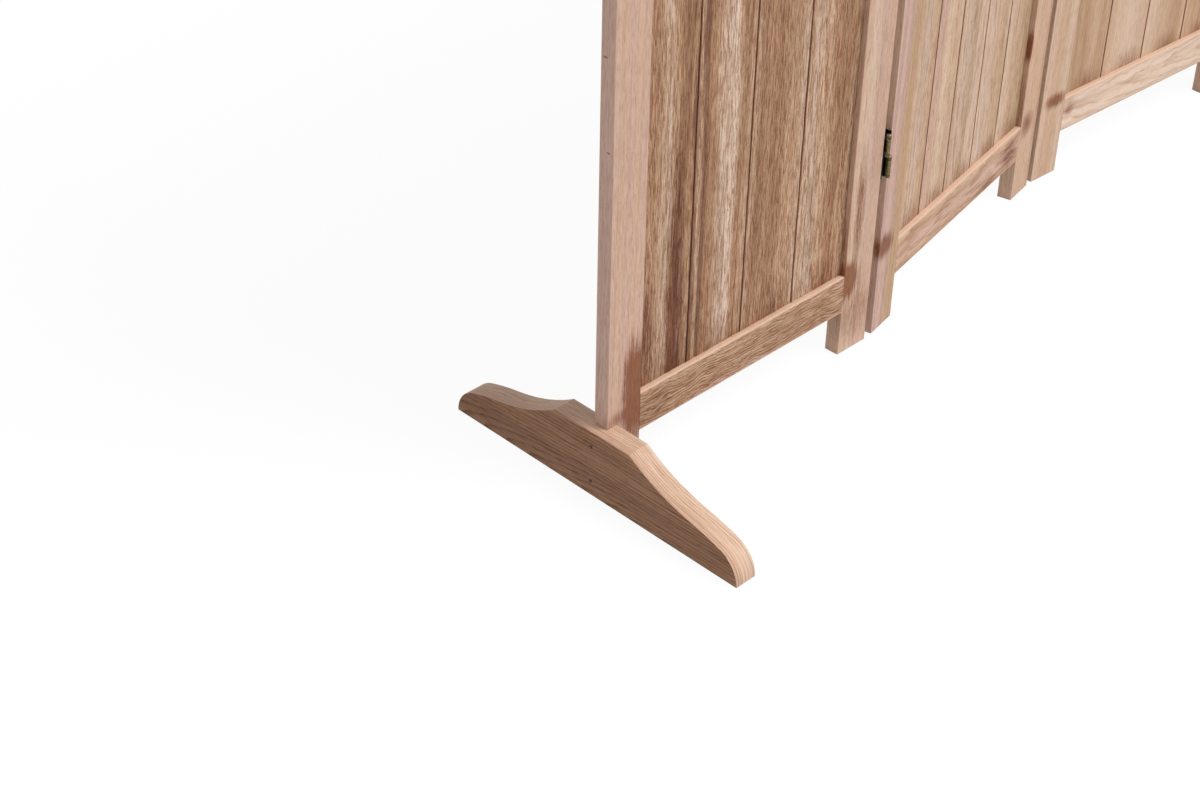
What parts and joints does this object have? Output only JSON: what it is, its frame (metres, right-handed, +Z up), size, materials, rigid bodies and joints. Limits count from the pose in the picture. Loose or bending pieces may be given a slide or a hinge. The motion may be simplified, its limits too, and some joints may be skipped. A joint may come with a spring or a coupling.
{
  "type": "folding screen",
  "caption": "Standing room divider of tongue-and-groove boarded wooden panels, joined by two-way hinges that fold either way, with a long curved foot across each end.",
  "frame": {"origin": "middle of the screen's own box as it stands, on the floor", "axes": "+Z up; +X along the first (left) panel, from its foot to its hinges; -Y out of the front"},
  "size_m": [1.6804, 0.525, 1.7],
  "materials": {
    "stiles": "light pinkish tan wood, straight grain, lightly scorched and brushed",
    "rails": "brown wood with wavy figure, scorched and brushed, pale eased edges",
    "boards": "mid-brown vertical boards with darker and paler streaks",
    "feet": "tan-brown wood, pale on the curved top",
    "black_screws": "blackened steel screws",
    "brass_pins": "dull olive brass",
    "hinge_leaves": "darkened antique brass",
    "hinge_links": "darkened antique brass"
  },
  "bodies": {
    "panel_1": {"panel_1_left_stile": "stiles", "panel_1_right_stile": "stiles", "panel_1_bottom_rail": "rails", "panel_1_top_rail": "rails", "panel_1_board_1": "boards", "panel_1_board_2": "boards", "panel_1_board_3": "boards", "panel_1_board_4": "boards", "panel_1_hinge_screws": "black_screws", "panel_1_hinge_pins": "brass_pins", "left_foot": "feet", "left_foot_screws": "black_screws", "joint_1_2_left_leaves": "hinge_leaves"},
    "panel_2": {"panel_2_left_stile": "stiles", "panel_2_right_stile": "stiles", "panel_2_bottom_rail": "rails", "panel_2_top_rail": "rails", "panel_2_board_1": "boards", "panel_2_board_2": "boards", "panel_2_board_3": "boards", "panel_2_board_4": "boards", "panel_2_board_5": "boards", "panel_2_hinge_screws": "black_screws", "panel_2_hinge_pins": "brass_pins", "joint_1_2_right_leaves": "hinge_leaves", "joint_2_3_left_leaves": "hinge_leaves"},
    "panel_3": {"panel_3_left_stile": "stiles", "panel_3_right_stile": "stiles", "panel_3_bottom_rail": "rails", "panel_3_top_rail": "rails", "panel_3_board_1": "boards", "panel_3_board_2": "boards", "panel_3_board_3": "boards", "panel_3_board_4": "boards", "panel_3_hinge_screws": "black_screws", "panel_3_hinge_pins": "brass_pins", "joint_2_3_right_leaves": "hinge_leaves", "joint_3_4_left_leaves": "hinge_leaves"},
    "panel_4": {"panel_4_left_stile": "stiles", "panel_4_right_stile": "stiles", "panel_4_bottom_rail": "rails", "panel_4_top_rail": "rails", "panel_4_board_1": "boards", "panel_4_board_2": "boards", "panel_4_board_3": "boards", "panel_4_board_4": "boards", "panel_4_board_5": "boards", "panel_4_hinge_screws": "black_screws", "panel_4_hinge_pins": "brass_pins", "right_foot": "feet", "right_foot_screws": "black_screws", "joint_3_4_right_leaves": "hinge_leaves"},
    "upper_links_1_2": {"joint_1_2_upper_links": "hinge_links"},
    "lower_links_1_2": {"joint_1_2_lower_links": "hinge_links"},
    "upper_links_2_3": {"joint_2_3_upper_links": "hinge_links"},
    "lower_links_2_3": {"joint_2_3_lower_links": "hinge_links"},
    "upper_links_3_4": {"joint_3_4_upper_links": "hinge_links"},
    "lower_links_3_4": {"joint_3_4_lower_links": "hinge_links"}
  },
  "joints": [
    {"name": "fold_front_1_2", "type": "hinge", "parent": "panel_1", "child": "upper_links_1_2", "pos_m": [-0.42216, -0.07596, 0], "axis": [0, 0, -1], "range_deg": [0, 150]},
    {"name": "fold_back_1_2", "type": "hinge", "parent": "upper_links_1_2", "child": "panel_2", "pos_m": [-0.42216, -0.05296, 0], "axis": [0, 0, 1], "range_deg": [-11.4, 138.6]},
    {"name": "lower_link_1_2", "type": "hinge", "parent": "panel_1", "child": "lower_links_1_2", "pos_m": [-0.42216, -0.05296, 0], "axis": [0, 0, 1], "range_deg": [-11.4, 138.6]},
    {"name": "fold_front_2_3", "type": "hinge", "parent": "panel_2", "child": "upper_links_2_3", "pos_m": [-0.01668, 0.00533, 0], "axis": [0, 0, -1], "range_deg": [-14.2, 135.8]},
    {"name": "fold_back_2_3", "type": "hinge", "parent": "upper_links_2_3", "child": "panel_3", "pos_m": [-0.01555, 0.0283, 0], "axis": [0, 0, 1], "range_deg": [0, 150]},
    {"name": "lower_link_2_3", "type": "hinge", "parent": "panel_3", "child": "lower_links_2_3", "pos_m": [-0.01668, 0.00533, 0], "axis": [0, 0, 1], "range_deg": [-14.2, 135.8]},
    {"name": "fold_front_3_4", "type": "hinge", "parent": "panel_3", "child": "upper_links_3_4", "pos_m": [0.39183, -0.01465, 0], "axis": [0, 0, -1], "range_deg": [0, 150]},
    {"name": "fold_back_3_4", "type": "hinge", "parent": "upper_links_3_4", "child": "panel_4", "pos_m": [0.39296, 0.00833, 0], "axis": [0, 0, 1], "range_deg": [-12.5, 137.5]},
    {"name": "lower_link_3_4", "type": "hinge", "parent": "panel_3", "child": "lower_links_3_4", "pos_m": [0.39296, 0.00833, 0], "axis": [0, 0, 1], "range_deg": [-12.5, 137.5]}
  ],
  "couplings": [
    {"joint": "lower_link_1_2", "follows": "fold_back_1_2", "ratio": 1},
    {"joint": "lower_link_2_3", "follows": "fold_front_2_3", "ratio": 1},
    {"joint": "lower_link_3_4", "follows": "fold_back_3_4", "ratio": 1}
  ]
}
